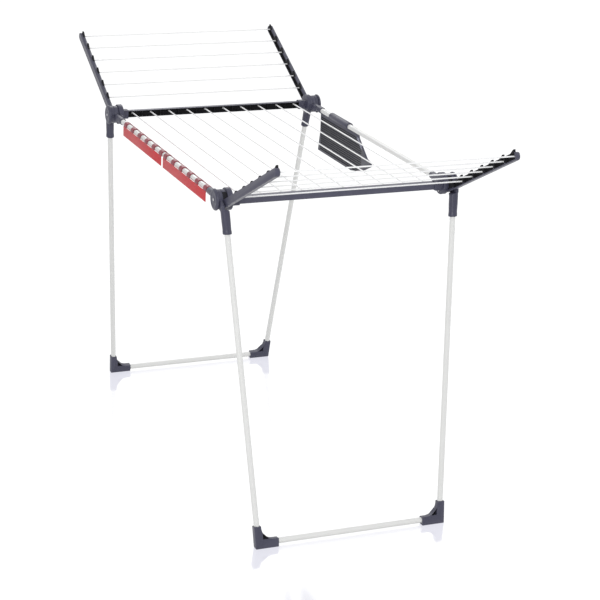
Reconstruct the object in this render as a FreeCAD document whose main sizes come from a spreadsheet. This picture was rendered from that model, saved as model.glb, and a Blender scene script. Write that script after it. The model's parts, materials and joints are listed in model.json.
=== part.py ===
import FreeCAD, Part
import os
import re

import Sketcher

# Winged clothes drying rack, in millimetres. X runs across the rack, along the end bars.
# Y runs along the drying lines, from the near end to the far end. Z is up, and the origin
# is on the floor under the middle of the top frame.

SIZES = {
    # overall
    "rail_height": 950,
    "rail_spacing": 673,
    "hub_spacing": 1016,
    "tube_diameter": 16,
    "tube_wall": 1,
    "line_diameter": 4,
    "fit_clearance": 0.05,
    "gap": 0.3,
    # hubs at the four corners of the top frame
    "hub_rise": 2,
    "hub_radius": 31,
    "hub_knuckle_radius": 27,
    "housing_disc_width": 15,
    "pin_diameter": 8,
    "cap_width": 8,
    "cap_bevel": 3,
    "cap_inset": 1,
    "rail_socket_wall": 2.5,
    "rail_socket_length": 70,
    "web_setback": 37.8,
    "screw_shank_diameter": 3,
    "screw_head_diameter": 7,
    "screw_head_height": 2,
    "screw_length": 8,
    "screw_drop": 20,
    # end bars
    "bar_offset": 8,
    "bar_width": 18,
    "bar_depth": 21,
    "bar_wall": 2.5,
    "bar_rib": 2.5,
    "collar_length": 22,
    "collar_wall": 3,
    "line_count": 10,
    "line_rise": 3,
    # wings
    "arm_angle": 26.5,
    "arm_length": 438,
    "arm_width": 13,
    "arm_depth": 22,
    "arm_drop": 17.5,
    "arm_wall": 2.5,
    "arm_cell_depth": 15,
    "arm_cell_length": 57,
    "arm_cell_overrun": 5,
    "wing_line_count": 6,
    "wing_line_first": 106,
    "wing_line_pitch": 64,
    "fin_length": 26,
    "fin_root": 3,
    "fin_lean": 5,
    "beam_start": 8,
    "fin_rise": 7,
    "fin_width": 6,
    # legs
    "splay_angle": 10,
    "leg_offset": 34,
    "leg_top_spacing": 684,
    "leg_foot_spacing": 556,
    "leg_knuckle_width": 11,
    "leg_socket_diameter": 24,
    "leg_socket_start": 27,
    "leg_socket_end": 92,
    "leg_cheek_top": 4,
    "leg_cheek_height": 50,
    "leg_cheek_inset": 1,
    "leg_bridge_height": 20,
    "leg_tube_start": 42,
    "crossbar_height": 13,
    # feet
    "foot_width": 20,
    "foot_rise": 50,
    "foot_overcut": 6,
    "foot_reach": 58,
    "foot_sleeve": 10,
    "foot_gusset_radius": 38,
    "foot_stop": 4,
    "foot_web": 6,
    "foot_recess": 16,
    "foot_recess_margin": 1.5,
    # small-item holders on the left rail
    "holder_length": 380,
    "holder_start": 28,
    "holder_gap": 18,
    "holder_plate": 2.5,
    "holder_depth": 33,
    "holder_standoff": 1.8,
    "hook_count": 6,
    "hook_width": 20,
    "hook_wall": 3,
    # hanging panel on the right rail
    "panel_inset": 11,
    "panel_sheet": 2.6,
    "panel_far_end": 470,
    "panel_top_length": 302,
    "panel_drop": 15,
    "panel_height": 133,
    "panel_nose": 111,
    "panel_brow": 33.3,
    "panel_nose_top": 71.82,
    "panel_nose_bottom": 83.79,
    "panel_chin": 39.96,
    "panel_chin_rise": 15.96,
    "panel_rib_pitch": 7,
    "panel_rib_depth": 1.2,
    "panel_rib_count": 16,
    "panel_rim": 8,
    "panel_corner_radius": 3,
    "panel_shoulder": 12,
    "panel_shoulder_drop": 18,
    "panel_base_step": 40,
    "panel_base_spread": 14,
    "clip_start": 187,
    "clip_length": 145,
    "clip_wall": 4,
    "clip_mouth": 24,
}

doc = FreeCAD.newDocument("clothes_drying_rack")
sheet = doc.addObject("Spreadsheet::Sheet", "sizes")
for row, (alias, size) in enumerate(SIZES.items(), start=1):
    sheet.set(f"A{row}", alias)
    sheet.set(f"B{row}", str(size))
    sheet.setAlias(f"B{row}", alias)
doc.recompute()

PIECES = []
SIDES = {"left": -1, "right": 1}
ENDS = {"near": -1, "far": 1}
TURNS = {
    "X": FreeCAD.Rotation(FreeCAD.Vector(0, 1, 0), 90),
    "Y": FreeCAD.Rotation(FreeCAD.Vector(1, 0, 0), -90),
    "Z": FreeCAD.Rotation(),
}

# Places worked out from the sizes, as expressions.
HUB_Y = "hub_spacing / 2"
HUB_HEIGHT = "(rail_height + hub_rise)"
RAIL_X = "rail_spacing / 2"
SOCKET_RADIUS = "(tube_diameter / 2 + rail_socket_wall)"
ARM_INNER = "(rail_spacing / 2 - tube_diameter / 2 - gap)"
ARM_OUTER = f"({ARM_INNER} + arm_width)"
HOUSING_OUTER = f"({ARM_INNER} - gap)"
HOUSING_INNER = f"({HOUSING_OUTER} - housing_disc_width)"
KNUCKLE_INNER = f"({ARM_OUTER} + gap)"
KNUCKLE_OUTER = f"({KNUCKLE_INNER} + leg_knuckle_width)"
CAP_INNER = f"({KNUCKLE_OUTER} + gap)"
CAP_OUTER = f"({CAP_INNER} + cap_width)"
BAR_Y = f"({HUB_Y} + bar_offset)"
LINE_PITCH = "rail_spacing / (line_count + 1)"
LEG_RUN = f"(({HUB_HEIGHT} + leg_offset * sin(splay_angle) - crossbar_height) / cos(splay_angle))"
LEG_TAPER = f"atan((leg_top_spacing - leg_foot_spacing) / 2 / {LEG_RUN})"
PIN_HOLE = "pin_diameter / 2 + fit_clearance"
TUBE_HOLE = "tube_diameter / 2 + fit_clearance"
CAP_RADIUS = "hub_radius - cap_inset"
PANEL_FACE = "(rail_spacing / 2 + tube_diameter / 2 + panel_inset)"
PANEL_THICKNESS = f"({CAP_OUTER} - {PANEL_FACE})"


def sized(expression):
    """The expression with the name of each size read from the sheet."""
    def looked_up(word):
        return f"sizes.{word[0]}" if word[0] in SIZES else word[0]

    return re.sub(r"[a-z_]+", looked_up, str(expression))


def number(expression):
    """The present value of an expression of sizes."""
    found = sheet.evalExpression(sized(expression))
    return float(getattr(found, "Value", found))


def bind(item, **expressions):
    for prop, expression in expressions.items():
        item.setExpression(prop, sized(expression))


def place(item, at, turn=TURNS["Z"]):
    """Put an item at a point given by three expressions, turned by a fixed rotation."""
    item.Placement = FreeCAD.Placement(FreeCAD.Vector(), turn)
    for axis, expression in zip("xyz", at):
        item.setExpression(f"Placement.Base.{axis}", sized(expression))
    return item


def tilt(item, axis, angle):
    """Turn an item about an axis by an angle given as an expression."""
    turned = FreeCAD.Rotation(FreeCAD.Vector(*axis), number(angle))
    item.Placement = FreeCAD.Placement(item.Placement.Base, turned)
    item.setExpression("Placement.Rotation.Angle", sized(angle))
    return item


def cylinder(name, radius, length, at, along="Z"):
    item = doc.addObject("Part::Cylinder", name)
    bind(item, Radius=radius, Height=length)
    return place(item, at, TURNS[along])


def box(name, length, width, height, at):
    """A box whose corner with the lowest x, y and z is at the given point."""
    item = doc.addObject("Part::Box", name)
    bind(item, Length=length, Width=width, Height=height)
    return place(item, at)


def fuse(name, items):
    item = doc.addObject("Part::MultiFuse", name)
    item.Shapes = items
    item.Refine = True
    return item


def cut(name, base, tools):
    item = doc.addObject("Part::Cut", name)
    item.Base = base
    item.Tool = tools[0] if len(tools) == 1 else fuse(f"{name}_tools", tools)
    item.Refine = True
    return item


def compound(name, items):
    item = doc.addObject("Part::Compound", name)
    item.Links = items
    return item


def keep(item, label):
    """Name a finished piece; the label is also its file's name."""
    item.Label = label
    PIECES.append(item)
    return item


def body(name):
    return doc.addObject("PartDesign::Body", name)


def sketch_on(owner, name, role, lift="0"):
    """A sketch on one of a body's own origin planes, lifted along its normal."""
    sketch = owner.newObject("Sketcher::SketchObject", name)
    plane = next(item for item in owner.Origin.OriginFeatures if item.Role == role)
    sketch.AttachmentSupport = [(plane, "")]
    sketch.MapMode = "FlatFace"
    sketch.setExpression("AttachmentOffset.Base.z", sized(lift))
    return sketch


def fix_point(sketch, line, end, point):
    for direction, expression in zip(("DistanceX", "DistanceY"), point):
        index = sketch.addConstraint(Sketcher.Constraint(direction, line, end, number(expression)))
        sketch.setExpression(f"Constraints[{index}]", sized(expression))


def polygon(sketch, points):
    """A closed outline through points, each tied to the sizes by its two coordinates."""
    corners = [FreeCAD.Vector(number(across), number(up), 0) for across, up in points]
    count = len(corners)
    lines = []
    for i in range(count):
        lines.append(sketch.addGeometry(Part.LineSegment(corners[i], corners[(i + 1) % count])))
    for i, line in enumerate(lines):
        sketch.addConstraint(Sketcher.Constraint("Coincident", line, 2, lines[(i + 1) % count], 1))
        fix_point(sketch, line, 1, points[i])
    return sketch


def circle(sketch, centre, radius):
    middle = FreeCAD.Vector(number(centre[0]), number(centre[1]), 0)
    index = sketch.addGeometry(Part.Circle(middle, FreeCAD.Vector(0, 0, 1), number(radius)))
    fix_point(sketch, index, 3, centre)
    size = sketch.addConstraint(Sketcher.Constraint("Radius", index, number(radius)))
    sketch.setExpression(f"Constraints[{size}]", sized(radius))
    return sketch


def pad(owner, name, sketch, length, midplane=False):
    item = owner.newObject("PartDesign::Pad", name)
    item.Profile = sketch
    item.Midplane = midplane
    bind(item, Length=length)
    doc.recompute()
    return item


def pocket(owner, name, sketch, length, reverse=False, midplane=False):
    """Cut a sketch out of the body, and refuse a cut that misses the solid."""
    before = owner.Shape.Volume
    item = owner.newObject("PartDesign::Pocket", name)
    item.Profile = sketch
    item.Reversed = reverse
    item.Midplane = midplane
    bind(item, Length=length)
    doc.recompute()
    if item.Shape.Volume >= before:
        raise RuntimeError(f"{name} cuts nothing")
    return item


def pattern(owner, name, feature, sketch, direction, pitch, count):
    """Repeat a feature along its sketch's own axis."""
    item = owner.newObject("PartDesign::LinearPattern", name)
    item.Originals = [feature]
    item.Direction = (sketch, [direction])
    bind(item, Length=f"({pitch}) * (({count}) - 1)", Occurrences=count)
    owner.Tip = item
    doc.recompute()
    return item


def round_edges(owner, name, feature, wanted, radius):
    """Round the edges of a feature whose middle passes a test."""
    names = []
    for index, edge in enumerate(feature.Shape.Edges, start=1):
        if wanted(edge, edge.CenterOfMass):
            names.append(f"Edge{index}")
    if not names:
        raise RuntimeError(f"{name} finds no edge")
    item = owner.newObject("PartDesign::Fillet", name)
    item.Base = (feature, names)
    bind(item, Radius=radius)
    doc.recompute()
    return item


def tube(name, length, at, along):
    """A plain steel tube that starts at a point."""
    skin = cylinder(f"{name}_skin", "tube_diameter / 2", length, at, along)
    bore = cylinder(f"{name}_bore", "tube_diameter / 2 - tube_wall", length, at, along)
    return cut(name, skin, [bore])


# Top frame ---------------------------------------------------------------------------------


def rail(side, sign):
    """One side rail, which ends inside the sockets of its two corner housings."""
    reach = f"({HUB_Y} - hub_radius - gap)"
    steel = tube(f"rail_{side}", f"2 * {reach}", (f"{sign} * {RAIL_X}", f"-{reach}", "rail_height"), "Y")
    keep(steel, f"{side}_rail")


def end_bar(end, sign):
    """A channel-shaped bar across the rack, open towards the lines, with a rib between lines."""
    owner = body(f"{end}_bar")
    outer = f"({BAR_Y} + bar_width / 2)"
    inner = f"({BAR_Y} - bar_width / 2)"
    top = "(rail_height + bar_depth / 2)"
    bottom = "(rail_height - bar_depth / 2)"
    profile = sketch_on(owner, f"{end}_bar_profile", "YZ_Plane")
    polygon(
        profile,
        [
            (f"{sign} * {inner}", top),
            (f"{sign} * {outer}", top),
            (f"{sign} * {outer}", bottom),
            (f"{sign} * {inner}", bottom),
            (f"{sign} * {inner}", f"{bottom} + bar_wall"),
            (f"{sign} * ({outer} - bar_wall)", f"{bottom} + bar_wall"),
            (f"{sign} * ({outer} - bar_wall)", f"{top} - bar_wall"),
            (f"{sign} * {inner}", f"{top} - bar_wall"),
        ],
    )
    pad(owner, f"{end}_bar_channel", profile, f"2 * {HOUSING_INNER}", midplane=True)
    rib = sketch_on(owner, f"{end}_bar_rib_profile", "XY_Plane", f"{bottom} + bar_wall / 2")
    first = f"(-{LINE_PITCH} * (line_count / 2))"
    polygon(
        rib,
        [
            (f"{first} - bar_rib / 2", f"{sign} * ({inner} + bar_wall)"),
            (f"{first} + bar_rib / 2", f"{sign} * ({inner} + bar_wall)"),
            (f"{first} + bar_rib / 2", f"{sign} * ({outer} - bar_wall / 2)"),
            (f"{first} - bar_rib / 2", f"{sign} * ({outer} - bar_wall / 2)"),
        ],
    )
    wall = pad(owner, f"{end}_bar_rib", rib, "bar_depth - bar_wall")
    pattern(owner, f"{end}_bar_ribs", wall, rib, "H_Axis", LINE_PITCH, "line_count + 1")
    keep(owner, f"{end}_end_bar")


def middle_line(index):
    """One coated line between the backs of the two end bars."""
    reach = f"({BAR_Y} + bar_width / 2 - bar_wall)"
    across = f"{LINE_PITCH} * ({index} - (line_count - 1) / 2)"
    line = cylinder(f"line_{index}", "line_diameter / 2", f"2 * {reach}",
                    (across, f"-{reach}", "rail_height + line_rise"), "Y")
    keep(line, f"middle_line_{index + 1:02d}")


def housing(end, side, along, across):
    """A corner moulding that joins an end bar to a rail and carries the hub pin."""
    name = f"{end}_{side}"
    hub_y = f"{along} * {HUB_Y}"

    def x_from(inner, outer):
        return f"{across} * {inner}" if across > 0 else f"{across} * {outer}"

    def y_from(inner, outer):
        return f"{along} * {inner}" if along > 0 else f"{along} * {outer}"

    disc = cylinder(f"disc_{name}", "hub_radius", "housing_disc_width",
                    (x_from(HOUSING_INNER, HOUSING_OUTER), hub_y, HUB_HEIGHT), "X")
    socket_end = f"({HUB_Y} - hub_knuckle_radius - 2 * gap)"
    socket_start = f"({socket_end} - rail_socket_length)"
    socket = cylinder(f"socket_{name}", SOCKET_RADIUS, "rail_socket_length",
                      (f"{across} * {RAIL_X}", y_from(socket_start, socket_end), "rail_height"), "Y")
    web_inner = f"({RAIL_X} - {SOCKET_RADIUS} - bar_wall)"
    web = box(f"web_{name}", f"{HOUSING_OUTER} - {web_inner}",
              "rail_socket_length - web_setback + hub_radius",
              f"2 * {SOCKET_RADIUS} - bar_wall",
              (x_from(web_inner, HOUSING_OUTER),
               y_from(f"({socket_start} + web_setback)", f"({socket_end} + hub_radius)"),
               f"rail_height - {SOCKET_RADIUS} + bar_wall / 2"))
    grip = "(bar_depth / 2 + collar_wall)"
    collar_inner = f"({HOUSING_INNER} - collar_length)"
    collar_near = f"({BAR_Y} - bar_width / 2 - collar_wall)"
    collar_far = f"({BAR_Y} + bar_width / 2 + collar_wall)"
    collar = box(f"collar_{name}", "collar_length", f"{collar_far} - {collar_near}", f"2 * {grip}",
                 (x_from(collar_inner, HOUSING_INNER), y_from(collar_near, collar_far),
                  f"rail_height - {grip}"))
    solid = fuse(f"solid_{name}", [disc, socket, web, collar])
    rail_hole = cylinder(f"rail_hole_{name}", TUBE_HOLE, "rail_socket_length + gap",
                         (f"{across} * {RAIL_X}",
                          y_from(f"({socket_start} - gap)", f"({HUB_Y} - hub_radius)"), "rail_height"), "Y")
    slot = "(bar_depth / 2 + fit_clearance)"
    slot_near = f"({BAR_Y} - bar_width / 2 - fit_clearance)"
    slot_far = f"({BAR_Y} + bar_width / 2 + fit_clearance)"
    bar_hole = box(f"bar_hole_{name}", "collar_length + gap", f"{slot_far} - {slot_near}", f"2 * {slot}",
                   (x_from(f"({collar_inner} - gap)", HOUSING_INNER), y_from(slot_near, slot_far),
                    f"rail_height - {slot}"))
    pin_hole = cylinder(f"pin_hole_{name}", "pin_diameter / 2", "housing_disc_width",
                        (x_from(HOUSING_INNER, HOUSING_OUTER), hub_y, HUB_HEIGHT), "X")
    screw_hole = cylinder(f"screw_hole_{name}", "screw_shank_diameter / 2 + fit_clearance", "screw_length",
                          (x_from(HOUSING_INNER, f"({HOUSING_INNER} + screw_length)"), hub_y,
                           f"{HUB_HEIGHT} - screw_drop"), "X")
    holes = [rail_hole, bar_hole, pin_hole, screw_hole]
    keep(cut(f"housing_{name}", solid, holes), f"corner_housing_{name}")


def hub_cap(end, side, along, across):
    """The round cover on the outside of a hub, with a shallow raised centre."""
    name = f"{end}_{side}"
    middle = (f"{along} * {HUB_Y}", HUB_HEIGHT)
    shoulder = f"({CAP_OUTER} - cap_bevel)"
    plate = cylinder(f"cap_plate_{name}", CAP_RADIUS, "cap_width - cap_bevel",
                     (f"{across} * {CAP_INNER if across > 0 else shoulder}", *middle), "X")
    crown = doc.addObject("Part::Cone", f"cap_crown_{name}")
    narrow = f"{CAP_RADIUS} - 2 * cap_bevel"
    first, second = (CAP_RADIUS, narrow) if across > 0 else (narrow, CAP_RADIUS)
    bind(crown, Radius1=first, Radius2=second, Height="cap_bevel")
    place(crown, (f"{across} * {shoulder if across > 0 else CAP_OUTER}", *middle), TURNS["X"])
    hole = cylinder(f"cap_hole_{name}", "pin_diameter / 2", "cap_width",
                    (f"{across} * {CAP_INNER if across > 0 else CAP_OUTER}", *middle), "X")
    keep(cut(f"cap_{name}", fuse(f"cap_solid_{name}", [plate, crown]), [hole]), f"hub_cap_{name}")


def hub_pins():
    """The four steel pins, from the inner face of each housing to the outer face of its cap."""
    pins = []
    for end, along in ENDS.items():
        for side, across in SIDES.items():
            start = f"{across} * {HOUSING_INNER}" if across > 0 else f"{across} * {CAP_OUTER}"
            pins.append(cylinder(f"pin_{end}_{side}", "pin_diameter / 2", f"{CAP_OUTER} - {HOUSING_INNER}",
                                 (start, f"{along} * {HUB_Y}", HUB_HEIGHT), "X"))
    keep(compound("pins", pins), "hub_pins")


def housing_screws():
    """A pan-head screw on the inner face of each corner housing."""
    screws = []
    for end, along in ENDS.items():
        for side, across in SIDES.items():
            spot = (f"{along} * {HUB_Y}", f"{HUB_HEIGHT} - screw_drop")
            shank_end = f"({HOUSING_INNER} + screw_length - gap)"
            head_end = f"({HOUSING_INNER} - screw_head_height)"
            shank_from = HOUSING_INNER if across > 0 else shank_end
            head_from = head_end if across > 0 else HOUSING_INNER
            shank = cylinder(f"shank_{end}_{side}", "screw_shank_diameter / 2", "screw_length - gap",
                             (f"{across} * {shank_from}", *spot), "X")
            head = cylinder(f"head_{end}_{side}", "screw_head_diameter / 2", "screw_head_height",
                            (f"{across} * {head_from}", *spot), "X")
            screws.append(fuse(f"screw_{end}_{side}", [shank, head]))
    keep(compound("screws", screws), "housing_screws")


# Wings -------------------------------------------------------------------------------------


def arm(end, side, across):
    """One wing arm: a knuckle on the hub pin and a ribbed channel with line fins.

    It is drawn reaching along +Y from its pin, then raised by the wing's angle. A near arm is
    the same shape turned half round, so its inner side still faces the middle of the rack.
    """
    name = f"{end}_{side}"
    turned = across if end == "far" else -across
    owner = body(f"arm_{name}")
    start = ARM_INNER if turned > 0 else f"-{ARM_OUTER}"
    open_face = ARM_INNER if turned > 0 else f"-{ARM_INNER}"
    low = "(0 - arm_drop - arm_depth / 2)"
    high = "(0 - arm_drop + arm_depth / 2)"
    tip = "(arm_length - arm_depth / 2)"
    beam = sketch_on(owner, f"beam_{name}", "YZ_Plane", start)
    polygon(beam, [("beam_start", low), (tip, low), (tip, high), ("beam_start", high)])
    pad(owner, f"beam_pad_{name}", beam, "arm_width")
    end_round = sketch_on(owner, f"tip_{name}", "YZ_Plane", start)
    circle(end_round, (tip, "0 - arm_drop"), "arm_depth / 2")
    pad(owner, f"tip_pad_{name}", end_round, "arm_width")
    knuckle = sketch_on(owner, f"knuckle_{name}", "YZ_Plane", start)
    circle(knuckle, ("0", "0"), "hub_knuckle_radius")
    pad(owner, f"knuckle_pad_{name}", knuckle, "arm_width")
    cell = sketch_on(owner, f"cell_{name}", "YZ_Plane", open_face)
    cell_end = "(wing_line_first + arm_cell_overrun)"
    cell_low = "(0 - arm_drop - arm_cell_depth / 2)"
    cell_high = "(0 - arm_drop + arm_cell_depth / 2)"
    polygon(cell, [(f"{cell_end} - arm_cell_length", cell_low), (cell_end, cell_low),
                   (cell_end, cell_high), (f"{cell_end} - arm_cell_length", cell_high)])
    hollow = pocket(owner, f"cell_cut_{name}", cell, "arm_width - arm_wall", reverse=turned > 0)
    pattern(owner, f"cells_{name}", hollow, cell, "H_Axis", "wing_line_pitch", "wing_line_count")
    fin = sketch_on(owner, f"fin_{name}", "YZ_Plane",
                    open_face if turned > 0 else f"{open_face} - fin_width")
    crest = f"({high} + fin_rise)"
    root = f"({high} - arm_wall)"
    polygon(fin, [("wing_line_first - fin_length", root), ("wing_line_first + fin_root", root),
                  ("wing_line_first + fin_lean", crest), ("wing_line_first", crest)])
    blade = pad(owner, f"fin_pad_{name}", fin, "fin_width")
    pattern(owner, f"fins_{name}", blade, fin, "H_Axis", "wing_line_pitch", "wing_line_count")
    hole = sketch_on(owner, f"hole_{name}", "YZ_Plane", start)
    circle(hole, ("0", "0"), PIN_HOLE)
    pocket(owner, f"hole_cut_{name}", hole, "arm_width", reverse=True)
    place(owner, ("0", f"{ENDS[end]} * {HUB_Y}", HUB_HEIGHT))
    tilt(owner, (1, 0, 0), "arm_angle")
    if end == "near":
        half_turn = FreeCAD.Rotation(FreeCAD.Vector(0, 0, 1), 180)
        raised = half_turn.multiply(owner.Placement.Rotation)
        owner.setExpression("Placement.Rotation.Angle", None)
        owner.Placement = FreeCAD.Placement(owner.Placement.Base, raised)
    keep(owner, f"{end}_{side}_wing_arm")


def wing_line(end, along, index):
    """One coated line between the two arms of a wing."""
    reach = f"({ARM_OUTER} - arm_wall)"
    out = f"(wing_line_first + {index} * wing_line_pitch)"
    outward = f"({out} * cos(arm_angle) + arm_drop * sin(arm_angle))"
    upward = f"({out} * sin(arm_angle) - arm_drop * cos(arm_angle))"
    at = (f"-{reach}", f"{along} * ({HUB_Y} + {outward})", f"{HUB_HEIGHT} + {upward}")
    line = cylinder(f"{end}_wing_{index}", "line_diameter / 2", f"2 * {reach}", at, "X")
    keep(line, f"{end}_wing_line_{index + 1}")


# Legs --------------------------------------------------------------------------------------


def leg_place(item, along):
    """Stand a piece, drawn hanging straight down from its pin, on the splayed leg."""
    place(item, ("0", f"{along} * {HUB_Y}", HUB_HEIGHT))
    return tilt(item, (1, 0, 0), f"{along} * splay_angle")


def leg_round(name, radius, start, end, along, across):
    """A round piece on the tapering axis of a leg, between two distances from the pin."""
    top = f"leg_top_spacing / 2 - ({end}) * tan({LEG_TAPER})"
    item = doc.addObject("Part::Cylinder", name)
    bind(item, Radius=radius, Height=f"(({end}) - ({start})) / cos({LEG_TAPER})")
    place(item, (f"{across} * ({top})", f"{along} * leg_offset", f"0 - ({end})"))
    return tilt(item, (0, 1, 0), f"{across} * {LEG_TAPER}")


def leg_socket(end, side, along, across):
    """The moulding that turns on the hub pin and grips the top of a leg tube."""
    name = f"{end}_{side}"

    def x_from(inner, outer):
        return f"{across} * {inner}" if across > 0 else f"{across} * {outer}"

    start = x_from(KNUCKLE_INNER, KNUCKLE_OUTER)
    knuckle = cylinder(f"leg_knuckle_{name}", "hub_knuckle_radius", "leg_knuckle_width",
                       (start, "0", "0"), "X")
    cheek_near = "(leg_offset - leg_socket_diameter / 2)"
    cheek_far = "(leg_offset + leg_socket_diameter / 2 - leg_cheek_inset)"
    cheek = box(f"leg_cheek_{name}", "leg_knuckle_width", f"{cheek_far} - {cheek_near}", "leg_cheek_height",
                (start, cheek_near if along > 0 else f"-{cheek_far}",
                 "0 - leg_cheek_top - leg_cheek_height"))
    bridge = box(f"leg_bridge_{name}", "leg_knuckle_width", cheek_near, "leg_bridge_height",
                 (start, "0" if along > 0 else f"-{cheek_near}", "0 - leg_cheek_top - leg_bridge_height"))
    sleeve = leg_round(f"leg_sleeve_{name}", "leg_socket_diameter / 2", "leg_socket_start",
                       "leg_socket_end", along, across)
    solid = fuse(f"leg_solid_{name}", [knuckle, cheek, bridge, sleeve])
    hole = cylinder(f"leg_hole_{name}", PIN_HOLE, "leg_knuckle_width", (start, "0", "0"), "X")
    grip = leg_round(f"leg_grip_{name}", TUBE_HOLE, "leg_tube_start - gap", "leg_socket_end + gap",
                     along, across)
    keep(leg_place(cut(f"leg_socket_{name}", solid, [hole, grip]), along), f"{end}_{side}_leg_socket")


def leg_tube(end, side, along, across):
    name = f"{end}_{side}"
    skin = leg_round(f"leg_skin_{name}", "tube_diameter / 2", "leg_tube_start", LEG_RUN, along, across)
    bore = leg_round(f"leg_bore_{name}", "tube_diameter / 2 - tube_wall", "leg_tube_start", LEG_RUN,
                     along, across)
    keep(leg_place(cut(f"leg_tube_{name}", skin, [bore]), along), f"{end}_{side}_leg_tube")


CROSS_X = f"(leg_top_spacing / 2 - {LEG_RUN} * tan({LEG_TAPER}))"


def crossbar(end, along):
    """The floor tube between the two feet of a leg frame."""
    reach = f"({CROSS_X} - tube_diameter / 2 - foot_stop)"
    start = (f"-{reach}", f"{along} * leg_offset", f"-{LEG_RUN}")
    bar = tube(f"crossbar_{end}", f"2 * {reach}", start, "X")
    keep(leg_place(bar, along), f"{end}_crossbar")


def foot(end, side, along, across):
    """An L-shaped corner foot with a hollow-curved gusset and a flat sole."""
    name = f"{end}_{side}"
    owner = body(f"foot_{name}")
    lift = "0 - leg_offset" if along > 0 else "leg_offset"

    def corner(out, up):
        return (f"{across} * ({CROSS_X} + {out})", f"{up} - {LEG_RUN}")

    profile = sketch_on(owner, f"foot_profile_{name}", "XZ_Plane", lift)
    lean = f"foot_rise * tan({LEG_TAPER})"
    deep = "(crossbar_height + foot_width / 2)"
    polygon(
        profile,
        [
            corner("foot_sleeve", f"0 - {deep}"),
            corner(f"foot_sleeve + {lean}", "foot_rise"),
            corner(f"{lean} - foot_sleeve", "foot_rise"),
            corner("0 - foot_sleeve", "foot_sleeve"),
            corner("0 - foot_reach", "foot_sleeve"),
            corner("0 - foot_reach", f"0 - {deep}"),
        ],
    )
    block = pad(owner, f"foot_pad_{name}", profile, "foot_width", midplane=True)
    elbow_x = across * number(f"{CROSS_X} - foot_sleeve")
    elbow_z = number(f"foot_sleeve - {LEG_RUN}")
    round_edges(
        owner, f"foot_gusset_{name}", block,
        lambda edge, middle: abs(middle.x - elbow_x) < 1 and abs(middle.z - elbow_z) < 1
        and abs(edge.BoundBox.YLength - number("foot_width")) < 1e-3,
        "foot_gusset_radius",
    )
    recess = sketch_on(owner, f"foot_recess_{name}", "XZ_Plane", lift)
    near_edge = "(0 - foot_sleeve - foot_recess_margin)"
    base_edge = "(foot_sleeve + foot_recess_margin)"
    triangle = [corner(near_edge, base_edge), corner(near_edge, f"{base_edge} + foot_recess"),
                corner(f"{near_edge} - foot_recess", base_edge)]
    polygon(recess, triangle)
    pocket(owner, f"foot_recess_cut_{name}", recess, "foot_width", midplane=True)
    web = sketch_on(owner, f"foot_web_{name}", "XZ_Plane", lift)
    polygon(web, triangle)
    pad(owner, f"foot_web_pad_{name}", web, "foot_web", midplane=True)
    leg_place(owner, along)
    leg_hole = leg_round(f"foot_leg_hole_{name}", TUBE_HOLE, f"{LEG_RUN} - foot_rise - foot_overcut",
                         f"{LEG_RUN} + gap", along, across)
    bar_reach = f"({CROSS_X} - tube_diameter / 2 - foot_stop + gap)"
    bar_start = f"({CROSS_X} - foot_reach - gap)"
    hole_from = bar_start if across > 0 else bar_reach
    bar_hole = cylinder(f"foot_bar_hole_{name}", TUBE_HOLE, f"{bar_reach} - {bar_start}",
                        (f"{across} * {hole_from}", f"{along} * leg_offset", f"-{LEG_RUN}"), "X")
    holes = leg_place(fuse(f"foot_holes_{name}", [leg_hole, bar_hole]), along)
    floor = box(f"foot_floor_{name}", "2 * rail_spacing", "2 * hub_spacing", "rail_height",
                ("-rail_spacing", "-hub_spacing", "-rail_height"))
    keep(cut(f"foot_trim_{name}", owner, [holes, floor]), f"{end}_{side}_foot")


# Accessories -------------------------------------------------------------------------------


def rail_holder(name, start):
    """A strip of small-item hooks that clips over the left rail, with a plate on its outer side."""
    plate_x = "(0 - rail_spacing / 2 - tube_diameter / 2 - holder_standoff - holder_plate)"
    plate = box(f"{name}_plate", "holder_plate", "holder_length", "holder_depth - hook_wall",
                (plate_x, start, "rail_height - holder_depth"))
    hook_pitch = "((holder_length - hook_width) / (hook_count - 1))"
    pieces = [plate]
    outer = "(tube_diameter / 2 + hook_wall)"
    shoulder = "hook_wall + tube_diameter / 4"
    for index in range(int(number("hook_count"))):
        at = ("0 - rail_spacing / 2", f"{start} + {index} * {hook_pitch}", "rail_height")
        pieces.append(cylinder(f"{name}_hook_{index}", outer, "hook_width", at, "Y"))
        pieces.append(box(f"{name}_bridge_{index}", "holder_plate", "hook_width", shoulder,
                          (plate_x, at[1], f"rail_height - ({shoulder})")))
    grip = cylinder(f"{name}_grip", TUBE_HOLE, "holder_length",
                    ("0 - rail_spacing / 2", start, "rail_height"), "Y")
    mouth = box(f"{name}_mouth", "2 * tube_diameter", "holder_length", "tube_diameter",
                ("0 - rail_spacing / 2 - tube_diameter / 2 - holder_standoff / 2", start,
                 "rail_height - tube_diameter - tube_diameter / 4"))
    keep(cut(f"{name}_cut", fuse(f"{name}_solid", pieces), [grip, mouth]), name)


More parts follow.
